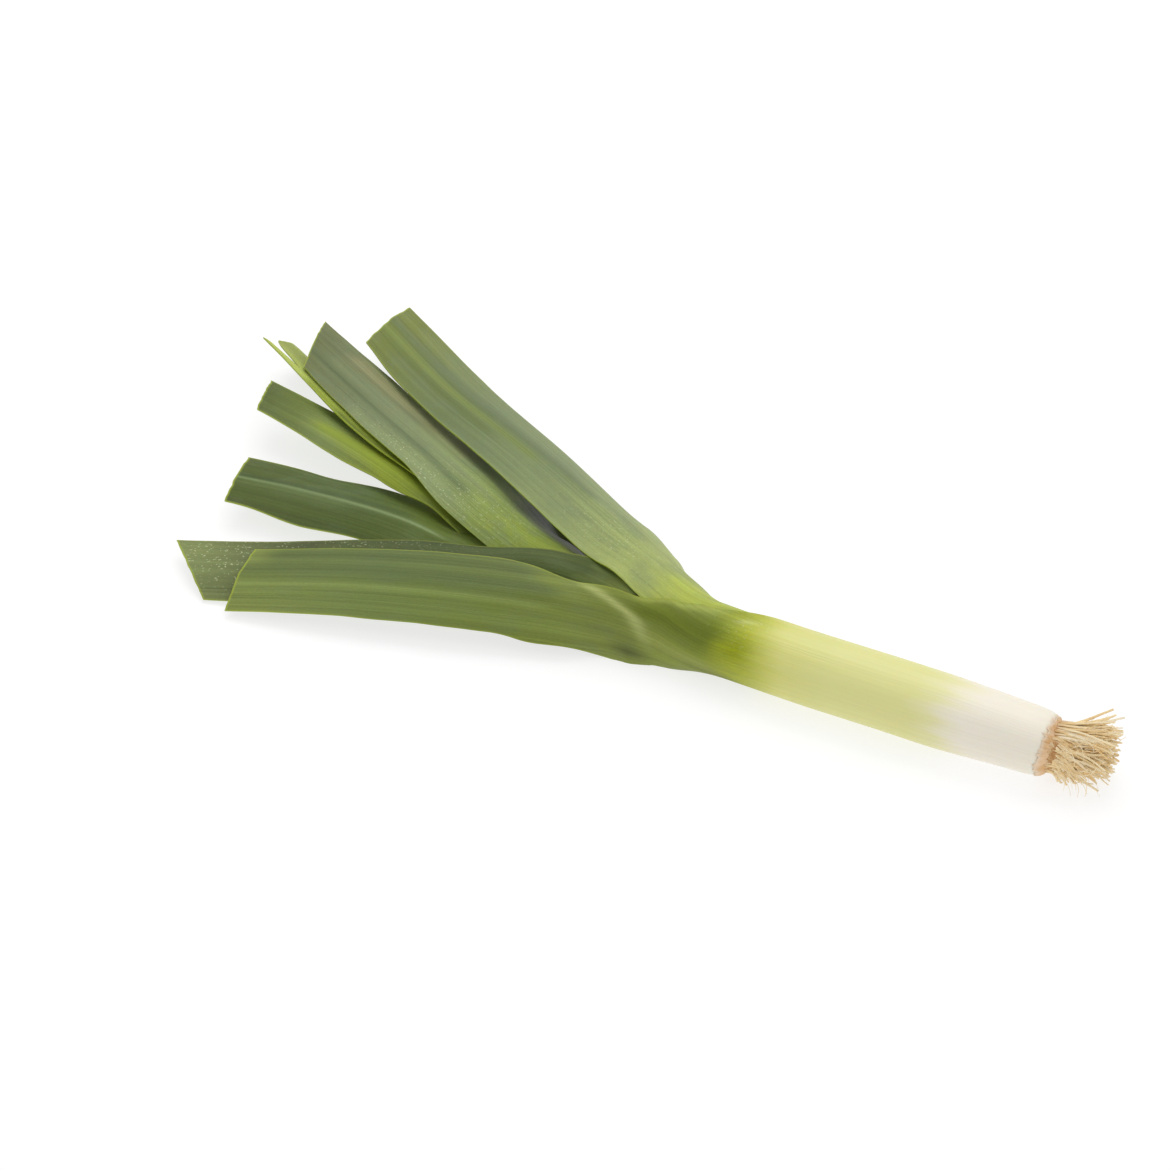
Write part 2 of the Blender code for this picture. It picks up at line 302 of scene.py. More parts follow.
def strand(start, direction, length, radius, sides, rings, curl, wander):
    """One root, as a tube that bends steadily, wanders a little, and ends at the trimming knife."""
    centre, step, run = start.copy(), length / rings, []
    for number in range(rings + 1):
        thickness = radius * (1 - STRAND_TAPER * number / rings)
        centre.z = min(max(centre.z, thickness), TUFT_TOP - thickness)
        centre.x = min(centre.x, ROOT_X + SKIN_GAP + TRIM)
        run.append((centre.copy(), direction, thickness))
        shake = Vector((0, draw.uniform(-wander, wander), draw.uniform(-wander, wander)))
        direction = (direction + curl / rings + shake).normalized()
        centre += direction * step
    return tube(run, sides)


tuft = bmesh.new()
reach_layer = tuft.verts.layers.float.new("reach")
tone_layer = tuft.verts.layers.float.new("tone")


def gather(root, rings, tone):
    """Adds a strand's mesh to the tuft, with its own tone and how far along it each point is."""
    ring = root.verts.layers.float["ring"]
    reaches = [vert[ring] / rings for vert in root.verts]
    held = bpy.data.meshes.new("strand")
    root.to_mesh(held)
    root.free()
    before = len(tuft.verts)
    tuft.from_mesh(held)
    bpy.data.meshes.remove(held)
    tuft.verts.ensure_lookup_table()
    for offset, reach in enumerate(reaches):
        vert = tuft.verts[before + offset]
        vert[reach_layer], vert[tone_layer] = reach, tone


for number in range(STRANDS):
    share = math.sqrt((number + 0.5) / STRANDS)
    outward = frame_at(-root_axis, number * GOLDEN_TURN)[0]
    farness = (1 + outward.y) / 2
    opening = NEAR_SPREAD + (FAR_SPREAD - NEAR_SPREAD) * farness
    spread = STRAND_SPREAD * share * draw.uniform(*STRAND_FANNING) * opening
    swing = Vector((0, FAR_LEAN + draw.uniform(*SWING_ASIDE), draw.uniform(*SWING_UP)))
    direction = (root_axis * math.cos(spread) + outward * math.sin(spread) + swing).normalized()
    depth = PLATE_DOME * (1 - share**3) + STRAND_SEAT
    start = place(-SKIN_GAP - depth, 0, SHANK_RADIUS) + outward * share * STRAND_REACH
    curl = Vector((0, draw.uniform(*CURL_ASIDE), draw.uniform(*CURL_UP)))
    # Strands at the plate's near rim turn down to the table and are shorter.
    near_rim = smooth((share - RIM_START) / RIM_RANGE) * smooth((NEAR_START - farness) / NEAR_RANGE)
    direction += NEAR_TURN * near_rim
    curl.y += NEAR_CURL * near_rim
    curl.z -= NEAR_DROOP * near_rim * draw.uniform(*DROOP_VARIETY)
    length = (draw.uniform(*STRAND_LENGTH) - depth) * (1 - NEAR_SHORTENING * near_rim)
    radius = draw.uniform(*STRAND_RADIUS)
    root = strand(start, direction, length, radius, STRAND_SIDES, STRAND_RINGS, curl, STRAND_WANDER)
    gather(root, STRAND_RINGS, draw.random())
for number in range(WISPS):
    reach = draw.uniform(*WISP_SHARE)
    outward = frame_at(-root_axis, draw.uniform(0, 360))[0]
    direction = (root_axis + outward * draw.uniform(*WISP_FANNING)).normalized()
    start = place(-SKIN_GAP - draw.uniform(*WISP_DEPTH), 0, SHANK_RADIUS)
    start += outward * reach * STRAND_REACH * WISP_REACH
    curl = Vector([draw.uniform(*span) for span in WISP_CURL])
    length = draw.uniform(*WISP_LENGTH)
    radius = draw.uniform(*WISP_RADIUS)
    root = strand(start, direction, length, radius, WISP_SIDES, WISP_RINGS, curl, WISP_WANDER)
    gather(root, WISP_RINGS, draw.random())

STRAW_PALE = shade(253, 244, 220)
STRAW = shade(248, 226, 178)
STRAW_DARK = shade(228, 188, 124)
STRAW_AT_PLATE = shade(190, 148, 98)
STRAW_FIBRES = (260, 1500, 1500)
STRAW_PATCHES = (160, 160, 160)
straw = Finish("dry_root_straw", Specular_IOR_Level=0.35)
spot = straw.node("TexCoord", {}, out="Object")
fibre = straw.grain(spot, STRAW_FIBRES, detail=3)
patch = straw.grain(spot, STRAW_PATCHES, detail=2)
tone, reach = straw.value("tone"), straw.value("reach")
root_colour = straw.ramp(tone * 0.75 + patch * 0.5 - 0.12, [
    (0.0, STRAW_DARK), (1.0, STRAW_PALE), (0.38, STRAW),
])
# Each strand is darker where it leaves the plate.
root_colour = straw.mix((1 - reach.rise(0.0, 0.25)) * 0.45, root_colour, STRAW_AT_PLATE)
root_colour = straw.mix(fibre.rise(0.55, 0.75) * 0.35, root_colour, STRAW_DARK)
straw.finished(root_colour, 0.72, fibre, 0.0002)
add_piece(tuft, "root_tuft", [straw], "roots", sharp=70)


# Shank: the blanched bundle of sheaths, white at the foot where earth kept the light off, then yellow-green.
# Only its outermost sheath shows up to the first notch; past each notch the next sheath in is the surface.
# It is living skin over juicy tissue: satin, faintly ribbed along its length, a little see-through.
PLATE_RADIUS = 0.0122
NECK_RADIUS = 0.0152
RIM_LENGTH = 0.010
NECK_LENGTH = 0.056
LAYER = 0.0019
STEP_LENGTH = 0.00005
NOTCHES = (0.105, 0.150, 0.178, 0.208, 0.234, 0.258, 0.282)
CORE_END = 0.311
CORE_TAPER = 0.009
CORE_SIDES = 112
CORE_SPACING = 0.003
GRAIN_CLOCK = 5
SKIN_ROUGHNESS = 0.42
SKIN_GLOSS = 0.30
SKIN_DEPTH = 0.10
SKIN_SCATTER = 0.003
RIB_HEIGHT = 0.00008
FINE_RIB_HEIGHT = 0.00003
SWELL_HEIGHT = 0.00022
RELIEF_START = 0.004
RIM_STATIONS = (0, 0.0002, 0.0006, 0.0012, 0.002, 0.003, 0.0042, 0.006, 0.008)
NECK_STATIONS = 38
NECK_SPACING = 0.0025
CORE_TIP = ((CORE_END - CORE_TAPER, 1), (CORE_END - 0.003, 0.93), (CORE_END, 0.7))


def shank_radius(along):
    """The outer radius, rounded in at the root plate and slowly growing to its full size."""
    rounded = math.sqrt(1 - (1 - min(along / RIM_LENGTH, 1)) ** 2)
    rim = PLATE_RADIUS + (NECK_RADIUS - PLATE_RADIUS) * rounded
    return rim + (SHANK_RADIUS - NECK_RADIUS) * smooth(along / NECK_LENGTH)


def skin_relief(grain):
    """How far the skin stands proud at a place: fine ribs along the leek on slow, shallow swells."""
    x, y, along = grain
    ribs = noise.noise(Vector((x * 420, y * 420, along * 5)))
    fine = noise.noise(Vector((x * 1100, y * 1100, along * 9)))
    swell = noise.noise(Vector((x * 70, y * 70, along * 26)))
    return RIB_HEIGHT * ribs + FINE_RIB_HEIGHT * fine + SWELL_HEIGHT * swell


def unrolled(turn, along):
    """A place on the skin as a point on a straight, even cylinder: a pattern there has no seam or bend."""
    angle = math.radians(turn - GRAIN_CLOCK)
    return Vector((SHANK_RADIUS * math.cos(angle), SHANK_RADIUS * math.sin(angle), along))


places = [*RIM_STATIONS, *(RIM_LENGTH + NECK_SPACING * step for step in range(NECK_STATIONS))]
stations = [(along, shank_radius(along)) for along in places]
for layer, notch in enumerate(NOTCHES):
    outer = SHANK_RADIUS - LAYER * layer
    inner = outer - LAYER - SKIN_GAP
    stations += [(notch, outer), (notch + STEP_LENGTH, inner)]
    ahead = NOTCHES[layer + 1] if layer + 1 < len(NOTCHES) else CORE_END - CORE_TAPER
    count = int((ahead - notch) / CORE_SPACING)
    level = inner if layer + 1 == len(NOTCHES) else inner + SKIN_GAP
    stations += [(notch + (ahead - notch) * step / (count + 1), level) for step in range(1, count + 1)]
stations += [(along, inner * share) for along, share in CORE_TIP]
shank_rings = [(axis(along), axis_direction(along), radius) for along, radius in stations]
shank = tube(shank_rings, CORE_SIDES, GRAIN_CLOCK)
turn, ring = shank.verts.layers.float["turn"], shank.verts.layers.float["ring"]
along_layer = shank.verts.layers.float.new("along")
grain_layer = shank.verts.layers.float_vector.new("grain")
for vert in shank.verts:
    along = stations[round(vert[ring])][0]
    vert[along_layer], vert[grain_layer] = along, unrolled(vert[turn], along)
    outward = frame_at(axis_direction(along), vert[turn])[0]
    vert.co += outward * skin_relief(vert[grain_layer]) * smooth(along / RELIEF_START)
    vert.co.z = max(vert.co.z, 0)

# Colours along the outer sheath, at metres from the plate.
SHEATH_TONES = (
    (0.000, shade(244, 237, 221)), (0.034, shade(244, 237, 221)), (0.043, shade(240, 234, 204)),
    (0.051, shade(232, 228, 174)), (0.062, shade(226, 224, 154)), (0.100, shade(224, 223, 150)),
    (0.124, shade(220, 218, 136)), (0.140, shade(212, 212, 108)), (0.150, shade(176, 184, 56)),
    (0.180, shade(146, 158, 66)), (0.320, shade(120, 136, 58)),
)
SHEATH_SPAN = 0.32
SHEATH_GREEN = SHEATH_TONES[6][1]
SHEATH_STREAKS = (380, 380, 7)
SHEATH_VEINS = (1300, 1300, 10)
DRIFT = (60, 60, 20)
FOOT_SPECKS = (420, 420, 420)
FOOT_TAN = shade(214, 182, 144)


def sheath_skin(finish, along, grain):
    """The sheath's colour and its veins' height: white at the foot, yellow-green above it in streaks."""
    streaks = finish.grain(grain, SHEATH_STREAKS, detail=3)
    drift = finish.grain(grain, DRIFT, detail=2)
    veins = finish.grain(grain, SHEATH_VEINS, detail=2)
    climb = along + (streaks - 0.5) * 0.020 + (drift - 0.5) * 0.022
    stops = [(at / SHEATH_SPAN, colour) for at, colour in SHEATH_TONES]
    colour = finish.ramp(climb / SHEATH_SPAN, [stops[0], stops[-1], *stops[1:-1]])
    colour = finish.lighten(colour, 0.925 + veins * 0.10 + streaks * 0.05)
    return colour, veins * 0.6 + streaks


skin = Finish("shank_skin", Specular_IOR_Level=SKIN_GLOSS, Subsurface_Weight=SKIN_DEPTH,
              Subsurface_Scale=SKIN_SCATTER)
along, grain = skin.value("along"), skin.vector("grain")
colour, ribs = sheath_skin(skin, along, grain)
dry = skin.grain(grain, FOOT_SPECKS, detail=4, rough=0.6)
foot = 1 - (along + (dry - 0.5) * 0.004).rise(0.0004, 0.0030)
colour = skin.mix(foot * 0.7, colour, FOOT_TAN)
skin.finished(colour, SKIN_ROUGHNESS, ribs, 0.00016)
add_piece(shank, "sheath_bundle", [skin], "shank", sharp=50)


# Dried rim: what is left of older sheaths where they met the plate, a torn papery collar, pinkish tan.
# It clings to the rounded end of the shank, short on top and longer on the near side, and it has split.
# Its front edge is shrivelled onto the plate.
COLLAR_SIDES = 150
COLLAR_ROWS = 12
COLLAR_THICKNESS = 0.00028
COLLAR_GAP = 0.00012
COLLAR_LENGTH = 0.0024
COLLAR_NEAR_LENGTH = 0.0016
COLLAR_TEARS = 0.0024
COLLAR_SHORTEST = 0.0016
COLLAR_FRONT = 0.0012
COLLAR_NEAR_FRONT = 0.0028
COLLAR_LIFT = 0.00020
COLLAR_FOLDS = 0.00045
COLLAR_CREASES = 0.00030

collar = bmesh.new()
bmesh.ops.create_grid(collar, x_segments=COLLAR_SIDES, y_segments=COLLAR_ROWS, size=1)
torn = collar.verts.layers.float.new("torn")
collar_grain = collar.verts.layers.float_vector.new("grain")
for vert in collar.verts:
    clock, share = 180 * vert.co.x, (vert.co.y + 1) / 2
    ring_point = Vector((math.cos(math.radians(clock)), math.sin(math.radians(clock)), 0))
    ragged = 0.5 * noise.noise(ring_point * 3.1) + 0.6 * noise.noise(ring_point * 9)
    ragged += 0.5 * noise.noise(ring_point * 27)
    nearness = math.cos(math.radians(clock + 20))
    length = COLLAR_LENGTH + COLLAR_NEAR_LENGTH * nearness + COLLAR_TEARS * ragged
    front = -COLLAR_FRONT - COLLAR_NEAR_FRONT * max(math.cos(math.radians(clock + 10)), 0)
    along = front + (max(length, COLLAR_SHORTEST) - COLLAR_FRONT - front) * share
    lifted = COLLAR_GAP + COLLAR_THICKNESS + COLLAR_LIFT * share**2 * max(ragged, 0)
    wrinkle = COLLAR_FOLDS * noise.noise(Vector((ring_point.x * 17, ring_point.y * 17, share * 3)))
    wrinkle += COLLAR_CREASES * noise.noise(Vector((ring_point.x * 41, ring_point.y * 41, share * 7)))
    wrinkle = max(wrinkle, 0) * (1 - share**2)
    radius = shank_radius(max(along, 0)) + lifted + wrinkle
    # Past the sheaths' ends it narrows to the plate, at first steeply.
    radius -= 0.0013 * smooth(-along / COLLAR_FRONT) + 0.0022 * smooth((-along - COLLAR_FRONT) / 0.0030)
    vert.co = axis(along) + frame_at(axis_direction(along), clock)[0] * radius
    vert.co.z = max(vert.co.z, 0)
    vert[torn], vert[collar_grain] = share, unrolled(clock, along)
bmesh.ops.remove_doubles(collar, verts=collar.verts, dist=0.00001)
bmesh.ops.recalc_face_normals(collar, faces=collar.faces)

PAPER_TAN = shade(226, 184, 132)
PAPER_PINK = shade(240, 206, 166)
PAPER_BROWN = shade(184, 134, 88)
PAPER_FADED = shade(238, 224, 204)
PAPER_FIBRES = (900, 900, 120)
PAPER_BLOTS = (210, 210, 210)
paper = Finish("dry_sheath_paper", Specular_IOR_Level=0.3)
grain, torn_share = paper.vector("grain"), paper.value("torn")
fibre = paper.grain(grain, PAPER_FIBRES, detail=4, rough=0.6)
blot = paper.grain(grain, PAPER_BLOTS, detail=3)
paper_colour = paper.mix(blot.rise(0.40, 0.62), PAPER_TAN, PAPER_PINK)
paper_colour = paper.mix(fibre.rise(0.50, 0.72) * 0.6, paper_colour, PAPER_BROWN)
paper_colour = paper.mix((1 - torn_share.rise(0.0, 0.30)) * 0.6, paper_colour, PAPER_BROWN)
paper_colour = paper.mix(torn_share.rise(0.55, 0.95) * 0.6, paper_colour, PAPER_FADED)
paper.finished(paper_colour, 0.75, fibre, 0.0003)
rim = add_piece(collar, "dried_rim", [paper])
wall = rim.modifiers.new("wall", "SOLIDIFY")
wall.thickness = COLLAR_THICKNESS
wall.offset = -1


# Middle leaf, the seventh and youngest that was left: a narrow bright blade from the heart of the shank.
# Each leaf is one organ: a sheath that is a closed tube lower down, and above its notch a keeled blade.
# The blades show their outer side, waxed and finely veined, and all were cut across with one knife stroke.
SHEATH_THICKNESS = 0.0012
BLADE_THICKNESS = 0.0010
MIDRIB_THICKNESS = 0.0022
MIDRIB_WIDTH = 0.0035
MARGIN_THICKNESS = 0.0008
ACROSS_CELLS = 56
FIRST_ACROSS_CELLS = 112
ALONG_CELLS = 240
CROWDING = 1.15
KEEL_ROUNDING = 0.0013
KEEL_STEPS = 60
CURVE_STEPS = 48
HANDOVER = 0.008
OPENING = 0.03
SHEATH_SHARE = 0.25
RELIEF_GROWTH = 0.05
BAND_HEIGHT = 0.00016
VEIN_HEIGHT = 0.00006
BUCKLE_HEIGHT = 0.00020
MARGIN_WAVES = 0.0003
WAVES_A_METRE = 55
CUT_WAVES = 0.0005
UPWARD = 6
JUST_OFF_KEEL = 1e-6
RIM_SHARP = 50
EVEN = ((0, 0),)


def read(knots, x):
    """A value that eases from one knot to the next."""
    if x <= knots[0][0]:
        return knots[0][1]
    for (x0, y0), (x1, y1) in zip(knots, knots[1:]):
        if x <= x1:
            return y0 + (y1 - y0) * smooth((x - x0) / (x1 - x0))
    return knots[-1][1]


def straight(knots, x):
    """A value on straight lines from knot to knot, the first and last of them carried on."""
    for (x0, y0), (x1, y1) in zip(knots, knots[1:]):
        if x <= x1 or (x1, y1) == knots[-1]:
            return y0 + (y1 - y0) * (x - x0) / (x1 - x0)


def keel_path(leaf):
    """The keel's points, directions and lengths from the notch: along the core, then one free curve."""
    radius = SHANK_RADIUS - LAYER * leaf["layer"]

    def on_core(along):
        return axis(along) + frame_at(axis_direction(along), read(leaf["clock"], along))[0] * radius

    stretch = leaf["lift"] - leaf["notch"]
    points = [on_core(leaf["notch"] + stretch * step / KEEL_STEPS) for step in range(KEEL_STEPS + 1)]
    free = [on_core(leaf["lift"] - stretch / 10), points[-1], *(place(*stop) for stop in leaf["route"])]
    free.append(free[-1] * 2 - free[-2])
    for before, start, stop, after in zip(free, free[1:], free[2:], free[3:]):
        span = (stop - start).length
        leave = (start - before) / (start - before).length + (stop - start) / span
        arrive = (stop - start) / span + (after - stop) / (after - stop).length
        for step in range(1, CURVE_STEPS + 1):
            t = step / CURVE_STEPS
            points.append(
                start * (2 * t**3 - 3 * t**2 + 1)
                + leave * (span / 2) * (t**3 - 2 * t**2 + t)
                + stop * (3 * t**2 - 2 * t**3)
                + arrive * (span / 2) * (t**3 - t**2)
            )
    lengths = [0.0]
    for before, after in zip(points, points[1:]):
        lengths.append(lengths[-1] + (after - before).length)
    ends = [points[0] * 2 - points[3], *points, points[-1] * 2 - points[-4]]
    last = len(ends) - 1
    directions = [(ends[min(i + 4, last)] - ends[max(i - 2, 0)]).normalized() for i in range(len(points))]
    return points, directions, lengths


def on_path(path, wanted):
    """The point and direction at a length from the notch, carried on straight past the end."""
    points, directions, lengths = path
    index = min(max(bisect.bisect_left(lengths, wanted), 1), len(points) - 1)
    share = (wanted - lengths[index - 1]) / (lengths[index] - lengths[index - 1])
    direction = directions[index - 1].lerp(directions[index], min(max(share, 0), 1)).normalized()
    return points[index - 1] + (points[index] - points[index - 1]) * share, direction


def leaf_place(leaf, path, length, across):
    """A place on the outer face: its point, outward normal, distance from the keel, half width, along."""
    keel, direction = on_path(path, length)
    along = ROOT_X - keel.x
    side = math.copysign(1, across)
    radius = SHANK_RADIUS - LAYER * leaf["layer"]
    freed = smooth((along - leaf["lift"] + HANDOVER) / (2 * HANDOVER))
    direction = axis_direction(along).lerp(direction, freed).normalized()
    outward, crosswise = frame_at(direction, read(leaf["clock"], along))
    closed = (leaf["notch"], radius * math.pi)
    half = read((closed, *leaf["half"]), along) * (1 + read(leaf.get("lean", EVEN), along) * side)
    opened = smooth((along - leaf["notch"]) / OPENING)
    half += opened * MARGIN_WAVES * noise.noise(Vector((along * WAVES_A_METRE, 7 * side, leaf["layer"])))
    for nick_side, at, depth, width in leaf.get("nicks", ()):
        if nick_side == side:
            half -= depth * math.exp(-(((along - at) / width) ** 4))
    theta = half / radius * read(leaf["roll"], along) * (1 + read(leaf.get("curl", EVEN), along) * side)
    fold = math.radians(read(leaf["fold"], along))
    off = half * abs(across)
    angle = fold + theta * abs(across)
    reach = half / theta * (math.sin(angle) - math.sin(fold))
    drop = half / theta * (math.cos(angle) - math.cos(fold))
    drop += math.tan(fold) * (off - math.sqrt(off * off + KEEL_ROUNDING**2))
    point = keel + crosswise * side * reach + outward * drop
    normal = outward * math.cos(angle) + crosswise * side * math.sin(angle)
    return point, normal, side * off, half, along


def leaf_relief(leaf, grain, edge, length):
    """The blade's own surface: ribs along it that fade into the sheath's skin towards the notch."""
    x, y, along = grain
    shift = leaf["layer"] * 0.31
    bands = noise.noise(Vector((x * 230 + shift, y * 230, along * 3)))
    ribs = noise.noise(Vector((x * 620, y * 620 + shift, along * 6)))
    buckle = noise.noise(Vector((x * 40 + shift, y * 40, along * 30)))
    blade = BAND_HEIGHT * bands + VEIN_HEIGHT * ribs + BUCKLE_HEIGHT * buckle
    grown = smooth(length / RELIEF_GROWTH)
    return skin_relief(grain) * (1 - grown) + blade * grown


def settle(piece, sharp):
    """Puts the piece's modifiers into its mesh, then marks the edges of the wall that they made as sharp."""
    bpy.context.view_layer.update()
    mesh = bpy.data.meshes.new_from_object(piece.evaluated_get(bpy.context.evaluated_depsgraph_get()))
    piece.modifiers.clear()
    piece.data = mesh
    mesh.set_sharp_from_angle(angle=math.radians(sharp))


# What a leaf's dict holds. Places are metres along the leek, and "across" runs from -1 to 1 by clock:
#   notch, lift   where the margins part, and where the keel leaves the shank for its route of free points
#   clock         the side of the leek that the keel is on: 0 near, 90 up, 180 far
#   half, lean    the half width, and how much more of it the rising side has
#   roll, curl    how much of the shank's roundness is left, and how much more of it the rising side has
#   fold          degrees that each half falls from the keel
#   cut, nicks    the knife's slant as (across, metres), and notches in a margin
#   tones         the colours along it
#   stripes       (across, width, from, to, strength, colour, and perhaps its slant across a metre)
#   flecks        (across, width, along, reach, strength)
#   wax, margin   how much bloom it has, and how pale its margins are
def make_leaf(leaf):
    """The outer face as a fine grid, made a wall inwards by a solidify that reads each point's thickness."""
    path = keel_path(leaf)
    total = path[2][-1]
    shape = bmesh.new()
    cells = leaf.get("cells", ACROSS_CELLS)
    bmesh.ops.create_grid(shape, x_segments=cells, y_segments=ALONG_CELLS, size=1)
    thickness = shape.verts.layers.deform.verify()
    layers = {name: shape.verts.layers.float.new(name) for name in ("across", "along", "edge", "cut")}
    grain_layer = shape.verts.layers.float_vector.new("grain")
    for vert in shape.verts:
        across = vert.co.x if abs(vert.co.x) > JUST_OFF_KEEL else JUST_OFF_KEEL
        ragged = CUT_WAVES * noise.noise(Vector((across * 5, leaf["layer"], 3.3)))
        end = total + straight(leaf["cut"], across) + ragged
        length = end * ((vert.co.y + 1) / 2) ** CROWDING
        point, normal, off, half, along = leaf_place(leaf, path, length, across)
        middle = math.exp(-((off / MIDRIB_WIDTH) ** 2))
        sheath = 1 - smooth(length / total / SHEATH_SHARE)
        thick = MARGIN_THICKNESS + (BLADE_THICKNESS - MARGIN_THICKNESS) * (1 - abs(across))
        thick += (MIDRIB_THICKNESS - thick) * middle * (1 - sheath)
        thick += (SHEATH_THICKNESS - thick) * sheath
        vert[thickness][0] = thick / MIDRIB_THICKNESS
        grain = unrolled(GRAIN_CLOCK + math.degrees(off / SHANK_RADIUS), leaf["notch"] + length)
        vert.co = point + normal * leaf_relief(leaf, grain, half - abs(off), length)
        # The table holds it up, and under a face that looks up there has to be room for the wall.
        vert.co.z = max(vert.co.z, thick * min(max(normal.z * UPWARD, 0), 1))
        vert[grain_layer] = grain
        vert[layers["across"]], vert[layers["along"]] = across, leaf["notch"] + length
        vert[layers["edge"]], vert[layers["cut"]] = half - abs(off), end - length
    made = add_piece(shape, leaf["piece"], leaf_finishes(leaf), leaf["name"])
    made.vertex_groups.new(name="thickness")
    wall = made.modifiers.new("wall", "SOLIDIFY")
    wall.thickness = MIDRIB_THICKNESS
    wall.offset = -1
    wall.vertex_group = "thickness"
    wall.material_offset = 1
    wall.material_offset_rim = 2
    settle(made, RIM_SHARP)


LEAF_EDGE = shade(162, 178, 60)
CUT_PALE = shade(168, 178, 92)
INNER_TONE = shade(118, 138, 62)
WAX = shade(116, 130, 98)
FLECK = shade(196, 206, 162)
LEEK_LENGTH = 0.50
LEAF_GLOSS = 0.25
LEAF_BANDS = (240, 240, 3)
LEAF_VEINS = (820, 820, 6)
LEAF_THREADS = (2100, 2100, 14)
LEAF_MOTTLE = (1500, 1500, 700)
WAX_CLOUDS = (90, 90, 45)
FLECK_DOTS = (1050, 1050, 700)
INNER_VEINS = (800, 800, 8)
INNER_BANDS = (220, 220, 4)
FLESH_PORES = (1600, 1600, 1600)
STRIPE_FADE = 0.008
MARGIN_FADE = (0.0001, 0.0009)
CUT_FADE = (0.0003, 0.0014)
GREENING = (0.122, 0.148)
INNER_GREENING = 0.12


def leaf_finishes(leaf):
    """The outer face, the smoother inner face, and the pale flesh that shows along margins and cuts."""
    shift = 0.37 * leaf["layer"]
    outer = Finish(leaf["piece"] + "_outer", Specular_IOR_Level=leaf.get("gloss", LEAF_GLOSS),
                   Subsurface_Weight=SKIN_DEPTH, Subsurface_Scale=SKIN_SCATTER)
    along, across = outer.value("along"), outer.value("across")
    edge, cut, grain = outer.value("edge"), outer.value("cut"), outer.vector("grain")
    stops = [(at / LEEK_LENGTH, colour) for at, colour in leaf["tones"]]
    drift = outer.grain(grain, DRIFT, detail=2, shift=shift)
    colour = outer.ramp((along + (drift - 0.5) * 0.03) / LEEK_LENGTH, [stops[0], stops[-1], *stops[1:-1]])
    cloud = outer.grain(grain, WAX_CLOUDS, detail=4, rough=0.6, shift=shift)
    colour = outer.mix(cloud.rise(0.42, 0.66) * leaf["wax"], colour, WAX)
    for centre, width, start, end, strength, tint, *slant in leaf["stripes"]:
        level = across - (along - start) * slant[0] if slant else across
        line = level.near(centre, width) * along.rise(start - STRIPE_FADE, start + STRIPE_FADE)
        line = line * (1 - along.rise(end - STRIPE_FADE, end + STRIPE_FADE))
        colour = outer.mix(line * strength, colour, tint)
    bands = outer.grain(grain, LEAF_BANDS, detail=2, shift=shift)
    veins = outer.grain(grain, LEAF_VEINS, detail=3, rough=0.65, shift=shift)
    threads = outer.grain(grain, LEAF_THREADS, detail=2, rough=0.6, shift=shift)
    mottle = outer.grain(grain, LEAF_MOTTLE, detail=3, rough=0.6)
    colour = outer.lighten(colour, 0.14 + bands * 0.52 + veins * 0.52 + threads * 0.38 + mottle * 0.30)
    for centre, width, at, reach, amount in leaf.get("flecks", ()):
        dots = outer.grain(grain, FLECK_DOTS, detail=1, rough=0.5)
        field = across.near(centre, width) * along.near(at, reach)
        colour = outer.mix(dots.rise(0.64, 0.70) * field * amount, colour, FLECK)
    colour = outer.mix((1 - edge.rise(*MARGIN_FADE)) * leaf["margin"], colour, LEAF_EDGE)
    colour = outer.mix((1 - cut.rise(*CUT_FADE)) * 0.8, colour, LEAF_EDGE)
    ribs = veins * 0.8 + bands + threads * 0.5 + mottle * 0.15
    roughness = 0.46 + cloud * 0.14
    if leaf["layer"] == 0:
        sheath, sheath_ribs = sheath_skin(outer, along, grain)
        green = (along + (veins - 0.5) * 0.012 - across * 0.004).rise(*GREENING)
        colour = outer.mix(green, sheath, colour)
        ribs = ribs * green + sheath_ribs * (1 - green)
        roughness = roughness * green + (1 - green) * SKIN_ROUGHNESS
    outer.finished(colour, roughness, ribs, 0.00030)

    inner = Finish(leaf["piece"] + "_inner", Specular_IOR_Level=0.4)
    grain = inner.vector("grain")
    veins = inner.grain(grain, INNER_VEINS, detail=3, shift=shift)
    bands = inner.grain(grain, INNER_BANDS, detail=2, shift=shift)
    green = inner.value("along").rise(leaf["notch"], leaf["notch"] + INNER_GREENING)
    deep = inner.mix(green, SHEATH_GREEN, INNER_TONE)
    inner.finished(inner.lighten(deep, 0.60 + veins * 0.3 + bands * 0.3), 0.38, veins + bands, 0.0002)

    flesh = Finish(leaf["piece"] + "_flesh", Specular_IOR_Level=0.3)
    pores = flesh.grain(flesh.vector("grain"), FLESH_PORES, detail=2)
    tint = flesh.mix(flesh.value("cut").rise(0.0, 0.002), CUT_PALE, LEAF_EDGE)
    flesh.finished(flesh.lighten(tint, 0.8 + pores * 0.4), 0.5, pores, 0.0002)
    return outer, inner, flesh


